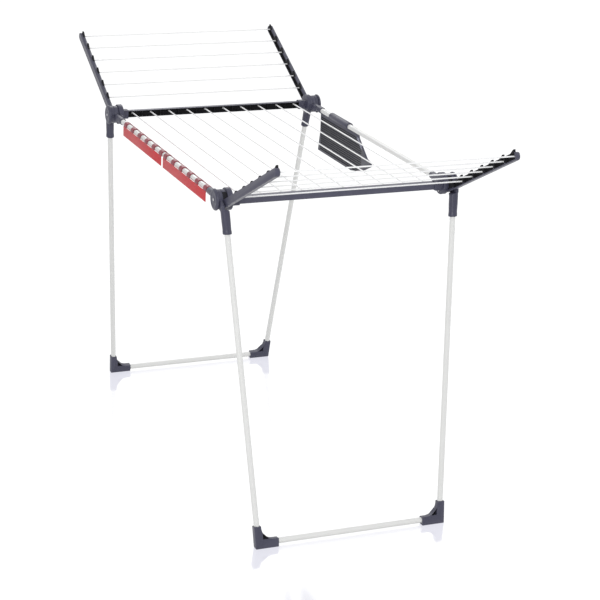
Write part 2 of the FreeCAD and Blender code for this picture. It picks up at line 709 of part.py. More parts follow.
def panel_clip():
    """The long clip that hooks over the right rail and carries the panel on its outer side."""
    outer = "(tube_diameter / 2 + clip_wall)"
    along_rail = ("rail_spacing / 2", "clip_start", "rail_height")
    shell = cylinder("clip_shell", outer, "clip_length", along_rail, "Y")
    reach = f"({CAP_OUTER} - {RAIL_X})"
    shelf = box("clip_shelf", reach, "clip_length", "clip_wall",
                ("rail_spacing / 2", "clip_start", "rail_height - panel_drop"))
    wall = box("clip_wall_block", "2 * clip_wall", "clip_length", "panel_drop",
               ("rail_spacing / 2 + tube_diameter / 2 - clip_wall / 2", "clip_start",
                "rail_height - panel_drop"))
    solid = fuse("clip_solid", [shell, shelf, wall])
    bore = cylinder("clip_bore", TUBE_HOLE, "clip_length", along_rail, "Y")
    mouth = box("clip_mouth", "clip_mouth", "clip_length", "clip_mouth",
                ("rail_spacing / 2 - tube_diameter", "clip_start",
                 "rail_height - clip_mouth - tube_diameter / 4"))
    keep(cut("clip", solid, [bore, mouth]), "panel_clip")


def hanging_panel():
    """The ribbed panel under the clip, with a nose towards the near end."""
    owner = body("panel")
    top = "(rail_height - panel_drop)"
    base = "(rail_height - panel_drop - panel_height)"
    near = "(panel_far_end - panel_top_length)"
    profile = sketch_on(owner, "panel_profile", "YZ_Plane", PANEL_FACE)
    polygon(
        profile,
        [
            ("panel_far_end", top),
            (near, top),
            (f"{near} - panel_shoulder", f"{top} - panel_shoulder_drop"),
            (f"{near} - panel_nose + panel_brow", f"{top} - panel_height / 2"),
            (f"{near} - panel_nose", f"{top} - panel_nose_top"),
            (f"{near} - panel_nose", f"{top} - panel_nose_bottom"),
            (f"{near} - panel_chin", f"{base} + panel_chin_rise"),
            (f"{near} + panel_base_step", base),
            ("panel_far_end + panel_base_spread", base),
            ("panel_far_end", f"{base} + panel_height / 2"),
        ],
    )
    sheet_pad = pad(owner, "panel_pad", profile, PANEL_THICKNESS)
    round_edges(owner, "panel_corners", sheet_pad,
                lambda edge, middle: abs(edge.BoundBox.XLength - number(PANEL_THICKNESS)) < 1e-3
                and abs(edge.BoundBox.ZLength) < 1e-3, "panel_corner_radius")
    back = sketch_on(owner, "panel_back", "YZ_Plane", CAP_OUTER)
    polygon(back, [(f"{near} + panel_rim", f"{base} + panel_rim"),
                   ("panel_far_end - panel_rim", f"{base} + panel_rim"),
                   ("panel_far_end - panel_rim", f"{top} - panel_rim"),
                   (f"{near} + panel_rim", f"{top} - panel_rim")])
    pocket(owner, "panel_back_cut", back, f"{PANEL_THICKNESS} - panel_sheet")
    groove = sketch_on(owner, "panel_groove", "YZ_Plane", PANEL_FACE)
    first = f"({base} + panel_rim)"
    polygon(groove, [(f"{near} - panel_nose / 3", first), ("panel_far_end - panel_rim", first),
                     ("panel_far_end - panel_rim", f"{first} + panel_rib_pitch / 2"),
                     (f"{near} - panel_nose / 3", f"{first} + panel_rib_pitch / 2")])
    cut_line = pocket(owner, "panel_groove_cut", groove, "panel_rib_depth", reverse=True)
    pattern(owner, "panel_grooves", cut_line, groove, "V_Axis", "panel_rib_pitch", "panel_rib_count")
    keep(owner, "ribbed_panel")


def build():
    for side, across in SIDES.items():
        rail(side, across)
    for end, along in ENDS.items():
        end_bar(end, along)
        crossbar(end, along)
        for index in range(int(number("wing_line_count"))):
            wing_line(end, along, index)
        for side, across in SIDES.items():
            housing(end, side, along, across)
            hub_cap(end, side, along, across)
            arm(end, side, across)
            leg_socket(end, side, along, across)
            leg_tube(end, side, along, across)
            foot(end, side, along, across)
    for index in range(int(number("line_count"))):
        middle_line(index)
    hub_pins()
    housing_screws()
    rail_holder("near_rail_holder", "(0 - holder_start - holder_length)")
    rail_holder("far_rail_holder", "(holder_gap - holder_start)")
    panel_clip()
    hanging_panel()
    doc.recompute()


def check():
    """Refuse a document with a failed object or a piece without a sound solid."""
    for item in doc.Objects:
        if {"Invalid", "Error"} & set(item.State):
            raise RuntimeError(f"{item.Name} is {item.State}")
    for piece in PIECES:
        if piece.Shape.isNull() or not piece.Shape.isValid():
            raise RuntimeError(f"{piece.Label} has no sound shape")


build()
check()
os.makedirs("parts", exist_ok=True)
for piece in PIECES:
    piece.Shape.exportStep(f"parts/{piece.Label}.step")
    print(piece.Label, len(piece.Shape.Solids), round(piece.Shape.Volume))
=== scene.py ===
"""Finishes the clothes drying rack: mouldings, caps, leg sockets, clips, lines and paint."""

import json
import math

import bmesh
import bpy
import numpy as np
from bpy.props import FloatProperty, FloatVectorProperty, IntProperty, PointerProperty
from mathutils import Matrix, Vector

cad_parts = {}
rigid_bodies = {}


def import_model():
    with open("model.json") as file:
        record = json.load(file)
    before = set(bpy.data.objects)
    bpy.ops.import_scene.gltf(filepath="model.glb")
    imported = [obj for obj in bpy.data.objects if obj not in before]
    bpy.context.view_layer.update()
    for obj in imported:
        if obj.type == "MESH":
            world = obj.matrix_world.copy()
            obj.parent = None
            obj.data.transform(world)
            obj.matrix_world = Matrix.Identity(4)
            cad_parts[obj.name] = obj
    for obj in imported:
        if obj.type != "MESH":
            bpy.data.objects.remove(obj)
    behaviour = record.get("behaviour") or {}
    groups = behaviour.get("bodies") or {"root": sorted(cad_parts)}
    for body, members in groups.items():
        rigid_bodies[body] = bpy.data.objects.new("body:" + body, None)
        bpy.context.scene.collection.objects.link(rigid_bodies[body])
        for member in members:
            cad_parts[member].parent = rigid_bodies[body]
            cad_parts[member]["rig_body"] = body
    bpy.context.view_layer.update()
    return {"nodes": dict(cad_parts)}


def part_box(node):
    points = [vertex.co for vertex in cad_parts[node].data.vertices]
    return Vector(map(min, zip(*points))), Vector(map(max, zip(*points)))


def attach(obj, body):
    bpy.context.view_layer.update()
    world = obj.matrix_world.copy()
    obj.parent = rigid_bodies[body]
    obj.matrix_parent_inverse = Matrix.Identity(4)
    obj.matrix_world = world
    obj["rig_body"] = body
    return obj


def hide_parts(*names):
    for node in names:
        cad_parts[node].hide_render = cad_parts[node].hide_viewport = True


bl_info = {
    "name": "Clothes drying rack",
    "version": (1, 0, 0),
    "blender": (4, 5, 0),
    "location": "3D View > Sidebar > Drying Rack",
    "description": "Builds the visible pieces of a folding clothes drying rack around its CAD frame",
    "category": "Add Mesh",
}

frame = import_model()
NODES = frame["nodes"]

ENDS = {"near": -1, "far": 1}
SIDES = {"left": -1, "right": 1}
HOLDERS = ("near", "far")
RAIL_LOW, RAIL_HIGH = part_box("left_rail")
RAIL_CENTRE = (RAIL_LOW + RAIL_HIGH) / 2
RAIL_RADIUS = (RAIL_HIGH.z - RAIL_LOW.z) / 2
TURN = 2 * math.pi

# Distances within which points are one point, in made grids and in CAD meshes.
GRID_WELD = 1e-6
CAD_WELD = 2e-6
# Distance within which a face lies in one of a CAD box's planes.
ON_PLANE = 2e-4
# Angles between faces: shaded sharp from, bevelled from, and joined within.
SHARP_FROM = math.radians(38)
BEVEL_FROM = math.radians(32)
FLAT_WITHIN = math.radians(0.6)
# The floor's half side and its drop below the feet, and the point that the lamps face.
FLOOR_REACH = 14
FLOOR_DROP = 0.0004
LAMP_AIM = (0, 0, 0.6)


# Settings ----------------------------------------------------------------------------------


def length(label, text, size):
    return FloatProperty(name=label, description=text, default=size, unit="LENGTH", subtype="DISTANCE")


def angle(label, text, degrees):
    return FloatProperty(name=label, description=text, default=math.radians(degrees), unit="ROTATION",
                         subtype="ANGLE")


def amount(label, text, value, **limits):
    return FloatProperty(name=label, description=text, default=value, **limits)


def colour(label, text, red, green, blue):
    """A colour property, given as display values from 0 to 255 and kept as linear light."""
    shown = np.array((red, green, blue)) / 255
    light = np.where(shown <= 0.04045, shown / 12.92, ((shown + 0.055) / 1.055) ** 2.4)
    return FloatVectorProperty(name=label, description=text, subtype="COLOR", size=3, min=0, max=1,
                               default=tuple(float(v) for v in light))


class RackSizes(bpy.types.PropertyGroup):
    """Sizes of the finishing detail; the large sizes come from the frame."""

    housing_edge: length("Housing edge", "Radius of the moulded edges of the corner housings", 0.0014)
    bar_edge: length("Bar edge", "Radius of the edges of the end bars", 0.0008)
    arm_edge: length("Arm edge", "Radius of the edges of the wing arms", 0.0009)
    arm_angle: angle("Arm angle", "Rise of a wing arm at rest", 26.5)
    arm_drop: length("Arm drop", "Distance of an arm's centre line below its hub pin", 0.0175)
    arm_depth: length("Arm depth", "Height of an arm's section without its fins", 0.022)
    arm_rim: length("Arm rim", "Height of the pale rim along the lower edge of an arm's inner side", 0.0055)
    arm_dark_end: length("Hollow end", "Distance from the hub pin at which an arm's hollow side ends", 0.431)
    foot_edge: length("Foot edge", "Radius of the edges of the feet", 0.0014)
    foot_web_half: length("Foot web depth", "Half the space across a foot that its web lies in", 0.004)
    panel_edge: length("Panel edge", "Radius of the edges of the panel and its ribs", 0.0005)
    panel_band: length("Panel band", "Height of the smooth band along the panel's top", 0.0175)
    panel_brow_y: length("Panel brow", "Place along the rack of the panel's slanted near edge", 0.156)
    panel_brow_drop: length("Panel brow drop", "Drop from the panel's top to that edge's upper end", 0.018)
    panel_slant: angle("Panel slant", "Slope of the near edge", 36.4)
    panel_rim: length("Panel rim", "Width of the highlight painted along the slanted edge", 0.011)
    panel_groove_start: length("Groove start", "Place along the rack at which the grooves start", 0.128)
    cap_dish: length("Cap dish", "Depth of the shallow ring in the face of a hub cap", 0.0008)
    knuckle_width: length("Leg knuckle width", "Width of the round part of a leg socket", 0.011)
    knuckle_radius: length("Leg knuckle radius", "Radius of the round part of a leg socket", 0.027)
    socket_radius: length("Socket radius", "Outer radius of the sleeve that grips a leg", 0.012)
    socket_end: length("Socket length", "Distance from the hub pin to the mouth of the sleeve", 0.092)
    socket_bead: length("Socket bead", "Height of the rounded bead at the mouth of the sleeve", 0.0006)
    leg_offset: length("Leg offset", "Distance of a leg's centre line in front of its hub pin", 0.034)
    leg_spacing: length("Leg spacing", "Distance between the centre lines of two legs at the hub", 0.684)
    leg_splay: angle("Leg splay", "Lean of a leg along the rack", 10)
    leg_taper: angle("Leg taper", "Lean of a leg across the rack", 3.816)
    hook_thickness: length("Hook thickness", "Thickness of the bands that clip over the rail", 0.0028)
    hook_width: length("Hook width", "Length of each band along the rail", 0.026)
    hook_count: IntProperty(name="Hooks", description="Bands on each rail holder", default=6, min=2, max=12)
    ferrule_radius: length("Ferrule radius", "Radius of the crimped end of a line", 0.0034)
    ferrule_length: length("Ferrule length", "Length of the crimped end of a line", 0.006)


class RackColours(bpy.types.PropertyGroup):
    """Colours of the rack's finishes."""

    slate: colour("Slate", "Moulded plastic of the bars, housings, arms, sockets and feet", 62, 62, 79)
    slate_pale: colour("Worn slate", "Slate plastic where an edge is rubbed", 104, 104, 120)
    # Painted shade: near-black colour put on the hollow faces of the bars and arms, the panel's grooves and
    # the feet's webs.
    shade: colour("Shade painted on hollows", "Near-black colour painted as shade on the hollow inner faces", 31, 31, 34)
    panel: colour("Panel", "Plastic of the side panel", 50, 51, 64)
    # Painted highlight: pale colour on the front of the panel along its slanted edge, in place of the light
    # it catches there.
    rim: colour("Highlight painted on rim", "Pale colour painted as a highlight on the panel's slanted rim", 150, 152, 172)
    white: colour("White paint", "Powder paint on the steel tubes", 223, 223, 221)
    line: colour("Line", "Coating of the drying lines", 246, 246, 246)
    red: colour("Red", "Plate of the rail holders", 198, 44, 50)
    maroon: colour("Maroon", "Bands that clip the holders to the rail", 132, 34, 52)
    steel: colour("Steel", "Bright steel of the pins and screws", 190, 190, 192)


class RackStage(bpy.types.PropertyGroup):
    """Camera, lamps and floor."""

    azimuth: angle("Azimuth", "Turn of the camera about the rack", -22.2804)
    elevation: angle("Elevation", "Height angle of the camera", 19.2607)
    roll: angle("Roll", "Tilt of the camera about its view", 2.0985)
    distance: length("Distance", "Distance from the camera to its target", 5.8113)
    target: FloatVectorProperty(name="Target", description="Point that the camera turns about", size=3,
                                default=(0.0948, 0, 0.4009), unit="LENGTH", subtype="XYZ")
    lens: amount("Lens", "Focal length for a 36 mm sensor", 112.269, min=1)
    shift_x: amount("Shift across", "Sideways shift of the lens", 0.009738)
    shift_y: amount("Shift up", "Upward shift of the lens", 0.029232)
    sky: amount("Sky", "Strength of the soft light from all round", 0.6, min=0)
    key: amount("Key lamp", "Power of the large lamp at the near left", 120, min=0)
    fill: amount("Fill lamps", "Power of each of the soft lamps on the right and behind", 40, min=0)
    floor_glow: amount("Floor glow", "Part of the floor's white that has no shadow", 0.71, min=0, max=1)
    floor_gloss: amount("Floor gloss", "Part of the floor that mirrors the feet", 0.34, min=0, max=1)


# Surfaces ----------------------------------------------------------------------------------


def ease(value, start, end):
    """Smooth step: 0 before start, 1 after end, and 3t^2 - 2t^3 between."""
    t = np.clip((value - start) / (end - start), 0, 1)
    return t * t * (3 - 2 * t)


def blend(low, high, share):
    return low + (high - low) * share


def rounded_loop(across, up, power, columns):
    """Superellipse: (across |cos t|^(2/p) sign cos t, up |sin t|^(2/p) sign sin t), one row per size."""
    t = np.linspace(0, TURN, columns, endpoint=False)[None, :]
    across, up, power = (np.atleast_1d(v).astype(float)[:, None] for v in (across, up, power))
    c, s = np.cos(t), np.sin(t)
    return across * np.sign(c) * np.abs(c) ** (2 / power), up * np.sign(s) * np.abs(s) ** (2 / power)


def close_poles(grid):
    """Adds a row at each end of a tube of rings, with all its points at the ring's own centre."""
    first = np.broadcast_to(grid[:1].mean(axis=1, keepdims=True), grid[:1].shape)
    last = np.broadcast_to(grid[-1:].mean(axis=1, keepdims=True), grid[-1:].shape)
    return np.concatenate((first, grid, last))


def turned(profile, centre, axis_sign, columns=48):
    """A profile of (distance along X, radius) rows carried round the X axis: (x, r cos t, r sin t)."""
    t = np.linspace(0, TURN, columns, endpoint=False)
    along, radius = profile[:, :1], profile[:, 1:]
    x = np.broadcast_to(axis_sign * along, (len(profile), columns))
    return np.stack((x, radius * np.cos(t), radius * np.sin(t)), axis=-1) + np.array(centre)


def rounded_corners(corners, radius, steps=4):
    """A closed outline with each corner replaced by a quadratic curve: (1-t)^2 a + 2t(1-t) p + t^2 b."""
    p = np.array(corners, float)
    back, ahead = np.roll(p, 1, axis=0) - p, np.roll(p, -1, axis=0) - p
    span_back = np.linalg.norm(back, axis=1, keepdims=True)
    span_ahead = np.linalg.norm(ahead, axis=1, keepdims=True)
    a = p + back / span_back * np.minimum(radius, span_back * 0.45)
    b = p + ahead / span_ahead * np.minimum(radius, span_ahead * 0.45)
    t = np.linspace(0, 1, steps)[None, :, None]
    return ((1 - t) ** 2 * a[:, None] + 2 * t * (1 - t) * p[:, None] + t**2 * b[:, None]).reshape(-1, 2)


def skin(grids, ring):
    """Vertices and quads of several grids; columns always wrap, and rows wrap too where ring is true."""
    vertices, faces, start = [], [], 0
    for grid in grids:
        rows, columns = grid.shape[:2]
        index = np.arange(rows * columns).reshape(rows, columns) + start
        ahead = np.roll(index, -1, axis=1)
        low, high = (index, np.roll(index, -1, axis=0)) if ring else (index[:-1], index[1:])
        low_ahead, high_ahead = (ahead, np.roll(ahead, -1, axis=0)) if ring else (ahead[:-1], ahead[1:])
        faces.append(np.stack((low, low_ahead, high_ahead, high), axis=-1).reshape(-1, 4))
        vertices.append(grid.reshape(-1, 3))
        start += rows * columns
    return np.concatenate(vertices), np.concatenate(faces)


def mesh_of(name, skins):
    """One mesh from (vertices, faces) pairs, with poles merged and every shell's faces outwards."""
    vertices, faces, start = [], [], 0
    for points, quads in skins:
        vertices.append(points)
        faces.append(quads + start)
        start += len(points)
    mesh = bpy.data.meshes.new(name)
    mesh.from_pydata(np.concatenate(vertices).tolist(), [], np.concatenate(faces).tolist())
    work = bmesh.new()
    work.from_mesh(mesh)
    bmesh.ops.remove_doubles(work, verts=work.verts, dist=GRID_WELD)
    bmesh.ops.recalc_face_normals(work, faces=work.faces)
    work.to_mesh(mesh)
    work.free()
    mesh.shade_smooth()
    mesh.set_sharp_from_angle(angle=SHARP_FROM)
    return mesh


def show(name, mesh, body, slot, *materials):
    """Links a finished mesh as a piece that rides on a body and takes the given materials; the slot is not
    used.
    """
    piece = bpy.data.objects.new(name, mesh)
    bpy.context.scene.collection.objects.link(piece)
    for material in materials:
        mesh.materials.append(material)
    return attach(piece, body)


def body_of(node):
    return NODES[node]["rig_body"]


def hub_centre(end, side):
    low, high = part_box(f"hub_cap_{end}_{side}")
    return (low + high) / 2


def coat(node, material):
    """Gives a carried-over CAD node one material; its mesh and place stay as they are."""
    node.data.materials.clear()
    node.data.materials.append(material)


def soften(node, name, slot, width, materials, choose=None, cuts=(), segments=2):
    """A merged copy of a CAD node with rounded edges.

    Each cut is a (point, normal) plane that divides its faces, and choose gives a material number for each
    face from its centre and normal; flat faces of one material are then joined again.
    """
    mesh = NODES[node].data.copy()
    mesh.name = name
    mesh.materials.clear()
    work = bmesh.new()
    work.from_mesh(mesh)
    bmesh.ops.remove_doubles(work, verts=work.verts, dist=CAD_WELD)
    for point, normal in cuts:
        geometry = [*work.verts, *work.edges, *work.faces]
        bmesh.ops.bisect_plane(work, geom=geometry, plane_co=point, plane_no=normal, dist=GRID_WELD)
    if choose is not None:
        centres = np.array([face.calc_center_median() for face in work.faces])
        normals = np.array([face.normal for face in work.faces])
        for face, number in zip(work.faces, choose(centres, normals).astype(int).tolist()):
            face.material_index = number
    bmesh.ops.dissolve_limit(work, angle_limit=FLAT_WITHIN, verts=work.verts, edges=work.edges,
                             delimit={"MATERIAL"})
    work.to_mesh(mesh)
    work.free()
    mesh.shade_smooth()
    piece = show(name, mesh, body_of(node), slot, *materials)
    edge = piece.modifiers.new("Moulded edge", "BEVEL")
    edge.width = width
    edge.segments = segments
    edge.limit_method = "ANGLE"
    edge.angle_limit = BEVEL_FROM
    edge.use_clamp_overlap = False
    edge.harden_normals = True
    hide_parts(node)
    return piece


# Materials ---------------------------------------------------------------------------------


def new_group(name, inputs, outputs):
    """A shader group; an input is a number with a default, or a vector where its default is None."""
    tree = bpy.data.node_groups.new(name, "ShaderNodeTree")
    for label, default in inputs.items():
        kind = "NodeSocketVector" if default is None else "NodeSocketFloat"
        socket = tree.interface.new_socket(name=label, in_out="INPUT", socket_type=kind)
        if default is not None:
            socket.default_value = default
    for label in outputs:
        tree.interface.new_socket(name=label, in_out="OUTPUT", socket_type="NodeSocketFloat")
    return tree, tree.nodes.new("NodeGroupInput"), tree.nodes.new("NodeGroupOutput")


def add(tree, kind, values=None, **settings):
    """A node with settings on itself and values or links on its input sockets."""
    node = tree.nodes.new(kind)
    for key, value in settings.items():
        setattr(node, key, value)
    for key, value in (values or {}).items():
        if isinstance(value, bpy.types.NodeSocket):
            tree.links.new(value, node.inputs[key])
        else:
            node.inputs[key].default_value = value
    return node


def maths(tree, operation, first, second, clamp=False):
    return add(tree, "ShaderNodeMath", {0: first, 1: second}, operation=operation, use_clamp=clamp).outputs[0]


def noise(tree, place, scale, detail, roughness=0.5):
    values = {"Vector": place, "Scale": scale, "Detail": detail, "Roughness": roughness}
    return add(tree, "ShaderNodeTexNoise", values).outputs[0]


def grain_group():
    """Fine moulding grain over broad cloudy variation, both from noise on the piece's own coordinates."""
    tree, given, out = new_group("Moulding grain", {"Vector": None, "Grain": 900.0, "Cloud": 9.0},
                                 ("Height", "Mottle"))
    place, scale = given.outputs["Vector"], given.outputs["Grain"]
    pores = add(tree, "ShaderNodeTexVoronoi", {"Vector": place, "Scale": scale}).outputs["Distance"]
    height = maths(tree, "ADD", noise(tree, place, scale, 3.0, 0.6), maths(tree, "MULTIPLY", pores, 0.45))
    tree.links.new(height, out.inputs["Height"])
    tree.links.new(noise(tree, place, given.outputs["Cloud"], 5.0, 0.55), out.inputs["Mottle"])
    return tree


def edge_group():
    """Mask that grows with Amount on outward edges, from the surface's pointiness, broken up by noise."""
    tree, given, out = new_group("Rubbed edge", {"Vector": None, "Start": 0.53, "Amount": 0.5}, ("Mask",))
    sharp = add(tree, "ShaderNodeNewGeometry").outputs["Pointiness"]
    over = maths(tree, "MULTIPLY", maths(tree, "SUBTRACT", sharp, given.outputs["Start"]), 12.0, clamp=True)
    patch = noise(tree, given.outputs["Vector"], 60.0, 4.0)
    broken = maths(tree, "MULTIPLY", over, maths(tree, "ADD", patch, 0.35))
    tree.links.new(maths(tree, "MULTIPLY", broken, given.outputs["Amount"], clamp=True), out.inputs["Mask"])
    return tree


def dust_group():
    """Mask of up to Amount, strongest on faces that point up, with cloudy noise in it."""
    tree, given, out = new_group("Settled dust", {"Vector": None, "Normal": None, "Amount": 0.1}, ("Mask",))
    up = add(tree, "ShaderNodeSeparateXYZ", {0: given.outputs["Normal"]}).outputs["Z"]
    top = maths(tree, "MULTIPLY", maths(tree, "SUBTRACT", up, 0.4), 1.6, clamp=True)
    laid = maths(tree, "MULTIPLY", top, noise(tree, given.outputs["Vector"], 34.0, 6.0))
    tree.links.new(maths(tree, "MULTIPLY", laid, given.outputs["Amount"], clamp=True), out.inputs["Mask"])
    return tree


def use_group(tree, name, build, values):
    """A material's node for a shared group, which is built when it is first asked for."""
    return add(tree, "ShaderNodeGroup", values, node_tree=bpy.data.node_groups.get(name) or build())


def tinted(tree, mask, under, over):
    """Colour that goes from under to over as the mask goes from 0 to 1."""
    mix = add(tree, "ShaderNodeMix", {"Factor": mask, "A": under, "B": (*over, 1)}, data_type="RGBA")
    return mix.outputs["Result"]


DUST = (0.42, 0.41, 0.4)
ROUGHNESS_SPREAD = 0.08


def finish(name, base, worn, *, roughness, specular, grain, depth, mottle, wear, dust, metallic=0.0,
           coating=0.0):
    """A finish whose colour drifts with a cloudy mottle, wears at edges and holds a little dust on top."""
    if name in bpy.data.materials:
        return bpy.data.materials[name]
    material = bpy.data.materials.new(name)
    material.use_nodes = True
    tree = material.node_tree
    tree.nodes.clear()
    where = add(tree, "ShaderNodeTexCoord")
    place = where.outputs["Object"]
    texture = use_group(tree, "Moulding grain", grain_group, {"Vector": place, "Grain": grain})
    edge = use_group(tree, "Rubbed edge", edge_group, {"Vector": place, "Amount": wear})
    film = use_group(tree, "Settled dust", dust_group,
                     {"Vector": place, "Normal": where.outputs["Normal"], "Amount": dust})
    dim, bright = (np.clip(np.array(base) * share, 0, 1) for share in (1 - mottle, 1 + mottle))
    cloudy = tinted(tree, texture.outputs["Mottle"], (*dim, 1), bright)
    rubbed = tinted(tree, edge.outputs["Mask"], cloudy, worn)
    dusted = tinted(tree, film.outputs["Mask"], rubbed, DUST)
    drift = maths(tree, "MULTIPLY", texture.outputs["Mottle"], ROUGHNESS_SPREAD * 2)
    rough = maths(tree, "ADD", drift, roughness - ROUGHNESS_SPREAD)
    bump = add(tree, "ShaderNodeBump",
               {"Strength": 1.0, "Distance": depth, "Height": texture.outputs["Height"]})
    surface = add(tree, "ShaderNodeBsdfPrincipled", {
        "Base Color": dusted, "Roughness": rough, "Metallic": metallic, "Normal": bump.outputs[0],
        "Specular IOR Level": specular, "Coat Weight": coating, "Coat Roughness": 0.2})
    out = add(tree, "ShaderNodeOutputMaterial")
    tree.links.new(surface.outputs[0], out.inputs["Surface"])
    material.diffuse_color = (*base, 1)
    return material


def slate_plastic(colours):
    """Satin moulded plastic with a fine spark-eroded grain."""
    return finish("Slate plastic", colours.slate, colours.slate_pale, roughness=0.42, specular=0.4,
                  grain=1100.0, depth=0.00006, mottle=0.09, wear=0.6, dust=0.04)


def painted_shade_plastic(colours):
    """Painted shade: the same plastic, dull and near black, put on hollow inner faces in place of the shade
    that falls in them.
    """
    return finish("Painted shade plastic", colours.shade, colours.slate, roughness=0.7, specular=0.12,
                  grain=1100.0, depth=0.00006, mottle=0.1, wear=0.35, dust=0.02)


def panel_plastic(colours):
    return finish("Panel plastic", colours.panel, colours.slate_pale, roughness=0.38, specular=0.4,
                  grain=1000.0, depth=0.00005, mottle=0.06, wear=0.7, dust=0.06)


def painted_highlight_plastic(colours):
    """A painted highlight: slate plastic made pale grey on the slanted rim, in place of the light that the
    rim catches.
    """
    return finish("Painted highlight rim", colours.rim, (0.5, 0.5, 0.56), roughness=0.35, specular=0.45,
                  grain=1000.0, depth=0.00004, mottle=0.06, wear=0.3, dust=0.03)


def white_paint(colours):
    """Powder paint with a faint orange peel and soft gloss."""
    return finish("White powder paint", colours.white, (0.62, 0.62, 0.6), roughness=0.34, specular=0.5,
                  grain=420.0, depth=0.00004, mottle=0.02, wear=0.1, dust=0.04, coating=0.25)


def line_coating(colours):
    """Smooth plastic over the wire of a drying line."""
    return finish("Line coating", colours.line, (0.7, 0.7, 0.7), roughness=0.45, specular=0.4,
                  grain=600.0, depth=0.00003, mottle=0.02, wear=0.0, dust=0.02)


def red_plastic(colours):
    return finish("Red plastic", colours.red, (0.75, 0.2, 0.2), roughness=0.45, specular=0.2,
                  grain=900.0, depth=0.00005, mottle=0.05, wear=0.3, dust=0.02)


def maroon_plastic(colours):
    return finish("Maroon plastic", colours.maroon, (0.5, 0.12, 0.14), roughness=0.36, specular=0.4,
                  grain=900.0, depth=0.00005, mottle=0.06, wear=0.4, dust=0.04)


def bright_steel(colours):
    return finish("Bright steel", colours.steel, (0.75, 0.75, 0.76), roughness=0.3, specular=0.5,
                  grain=700.0, depth=0.00002, mottle=0.08, wear=0.3, dust=0.03, metallic=1.0)


# Pieces ------------------------------------------------------------------------------------


class RACK_OT_end_bars(bpy.types.Operator):
    """Round the edges of the two end bars and paint shade into their ribbed hollows"""

    bl_idname = "rack.end_bars"
    bl_label = "End bars"

    def execute(self, context):
        sizes, colours = context.scene.rack_sizes, context.scene.rack_colours
        for end, along in ENDS.items():
            low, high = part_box(f"{end}_end_bar")
            back = high.y if along > 0 else low.y

            def hollow(centres, normals, low=low, high=high, back=back):
                """Every face that is not on the bar's back, top or underside; these take the painted shade.
                """
                on_back = np.abs(centres[:, 1] - back) < ON_PLANE
                on_top = np.abs(centres[:, 2] - high.z) < ON_PLANE
                return ~(on_back | on_top | (np.abs(centres[:, 2] - low.z) < ON_PLANE))

            # The hollow faces get the near-black painted shade instead of the bar's slate.
            soften(f"{end}_end_bar", f"end_bar_{end}", "slate_plastic", sizes.bar_edge,
                   (slate_plastic(colours), painted_shade_plastic(colours)), hollow)
        return {"FINISHED"}


class RACK_OT_corner_housings(bpy.types.Operator):
    """Round the edges of the four corner housings"""

    bl_idname = "rack.corner_housings"
    bl_label = "Corner housings"

    def execute(self, context):
        sizes, colours = context.scene.rack_sizes, context.scene.rack_colours
        for end in ENDS:
            for side in SIDES:
                soften(f"corner_housing_{end}_{side}", f"housing_{end}_{side}", "slate_plastic",
                       sizes.housing_edge, (slate_plastic(colours),), segments=3)
        return {"FINISHED"}


class RACK_OT_hub_caps(bpy.types.Operator):
    """Turn the four hub covers, each with a rounded rim, a shallow ring and a hole for its pin"""

    bl_idname = "rack.hub_caps"
    bl_label = "Hub caps"

    HOLE = 0.0042
    CORNER = 0.0016

    def execute(self, context):
        sizes, colours = context.scene.rack_sizes, context.scene.rack_colours
        for end in ENDS:
            for side, across in SIDES.items():
                node = f"hub_cap_{end}_{side}"
                low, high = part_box(node)
                radius, width = (high.z - low.z) / 2, high.x - low.x
                dish = sizes.cap_dish
                # Rows of (distance out, radius): back, side, domed shoulder, rim, sunk ring, boss.
                outline = rounded_corners(
                    [(0, self.HOLE), (0, radius), (width * 0.5, radius), (width * 0.82, radius - 0.0022),
                     (width, radius - 0.0065), (width, radius - 0.0095), (width - dish, radius - 0.0105),
                     (width - dish, 0.0105), (width, 0.0095), (width, self.HOLE)], self.CORNER)
                centre = (low.x if across > 0 else high.x, (low.y + high.y) / 2, (low.z + high.z) / 2)
                name = f"cap_{end}_{side}"
                mesh = mesh_of(name, [skin([turned(outline, centre, across, 64)], ring=True)])
                piece = show(name, mesh, body_of(node), "slate_plastic", slate_plastic(colours))
                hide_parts(node)
        return {"FINISHED"}


class RACK_OT_wing_arms(bpy.types.Operator):
    """Round the edges of the wing arms and paint shade onto their hollow inner sides and fins"""

    bl_idname = "rack.wing_arms"
    bl_label = "Wing arms"

    HOLLOW_START = 0.022
    CELL_DEPTH = 0.0125

    def execute(self, context):
        sizes, colours = context.scene.rack_sizes, context.scene.rack_colours
        lean = (math.cos(sizes.arm_angle), math.sin(sizes.arm_angle))
        for end, along in ENDS.items():
            for side, across in SIDES.items():
                node = f"{end}_{side}_wing_arm"
                low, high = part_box(node)
                inner = low.x if across > 0 else high.x
                hub = hub_centre(end, side)
                normal = Vector((0, -along * lean[1], lean[0]))
                middle = hub - normal * sizes.arm_drop
                half, rim = sizes.arm_depth / 2, sizes.arm_rim

                def hollow(centres, normals, across=across, along=along, inner=inner, hub=hub, normal=normal,
                           middle=middle):
                    """1, for painted shade, on the inner side above its lower rim, on the insides of the
                    cells, and on the fins.
                    """
                    depth = (centres[:, 0] - inner) * across
                    height = (centres - np.array(middle)) @ np.array(normal)
                    reach = (centres[:, 1] - hub.y) * along * lean[0] + (centres[:, 2] - hub.z) * lean[1]
                    inward = (normals[:, 0] * across < -0.5) & (height > rim - half)
                    cell = (np.abs(height) < half - 0.0005) & (depth > ON_PLANE) & (depth < self.CELL_DEPTH)
                    cell &= np.abs(normals[:, 0]) < 0.5
                    fin = height > half + 0.0004
                    hollowed = (reach > self.HOLLOW_START) & (reach < sizes.arm_dark_end)
                    return hollowed & (inward | cell | fin)

                # Inner sides, cells and fins get the near-black painted shade; the lower rim stays slate.
                soften(node, f"wing_arm_{end}_{side}", "slate_plastic", sizes.arm_edge,
                       (slate_plastic(colours), painted_shade_plastic(colours)), hollow,
                       cuts=((middle + normal * (rim - half), normal),))
        return {"FINISHED"}


